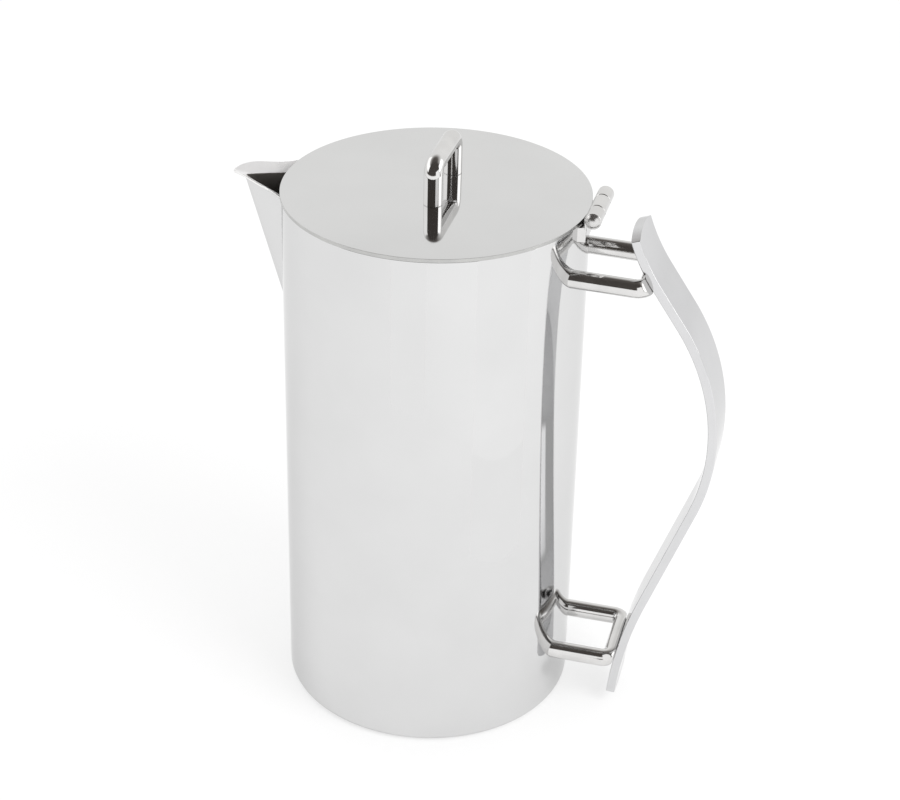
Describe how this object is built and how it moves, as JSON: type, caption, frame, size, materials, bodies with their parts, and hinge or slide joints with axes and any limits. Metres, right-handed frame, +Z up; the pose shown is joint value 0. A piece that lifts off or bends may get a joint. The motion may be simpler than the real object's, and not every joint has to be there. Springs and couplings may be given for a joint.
{
  "type": "coffee pot",
  "caption": "Straight-sided polished steel coffee pot with a hinged lid, a folded pouring spout and a strap handle on rod brackets.",
  "frame": {"origin": "middle of the flat standing face, on the axis of the round body", "axes": "+Z up along the body's axis, +X towards the handle, the spout towards -X, the lid's hinge axis along Y"},
  "size_m": [0.1672, 0.1008, 0.2029],
  "materials": {
    "polished_steel": "mirror polished stainless steel",
    "plain_steel": "plain rolled stainless steel"
  },
  "bodies": {
    "pot": {"body_wall": "polished_steel", "base_plate": "plain_steel", "spout": "polished_steel", "hinge_foot": "polished_steel", "hinge_pin": "polished_steel", "upper_bracket": "polished_steel", "lower_bracket": "polished_steel", "handle_strap": "polished_steel"},
    "lid": {"lid_plate": "polished_steel", "lid_skirt": "plain_steel", "hinge_lid_leaf": "polished_steel", "knob": "polished_steel"}
  },
  "joints": [
    {"name": "lid_hinge", "type": "hinge", "parent": "pot", "child": "lid", "pos_m": [0.0534, 0, 0.187], "axis": [0, 1, 0], "range_deg": [0, 100]}
  ]
}
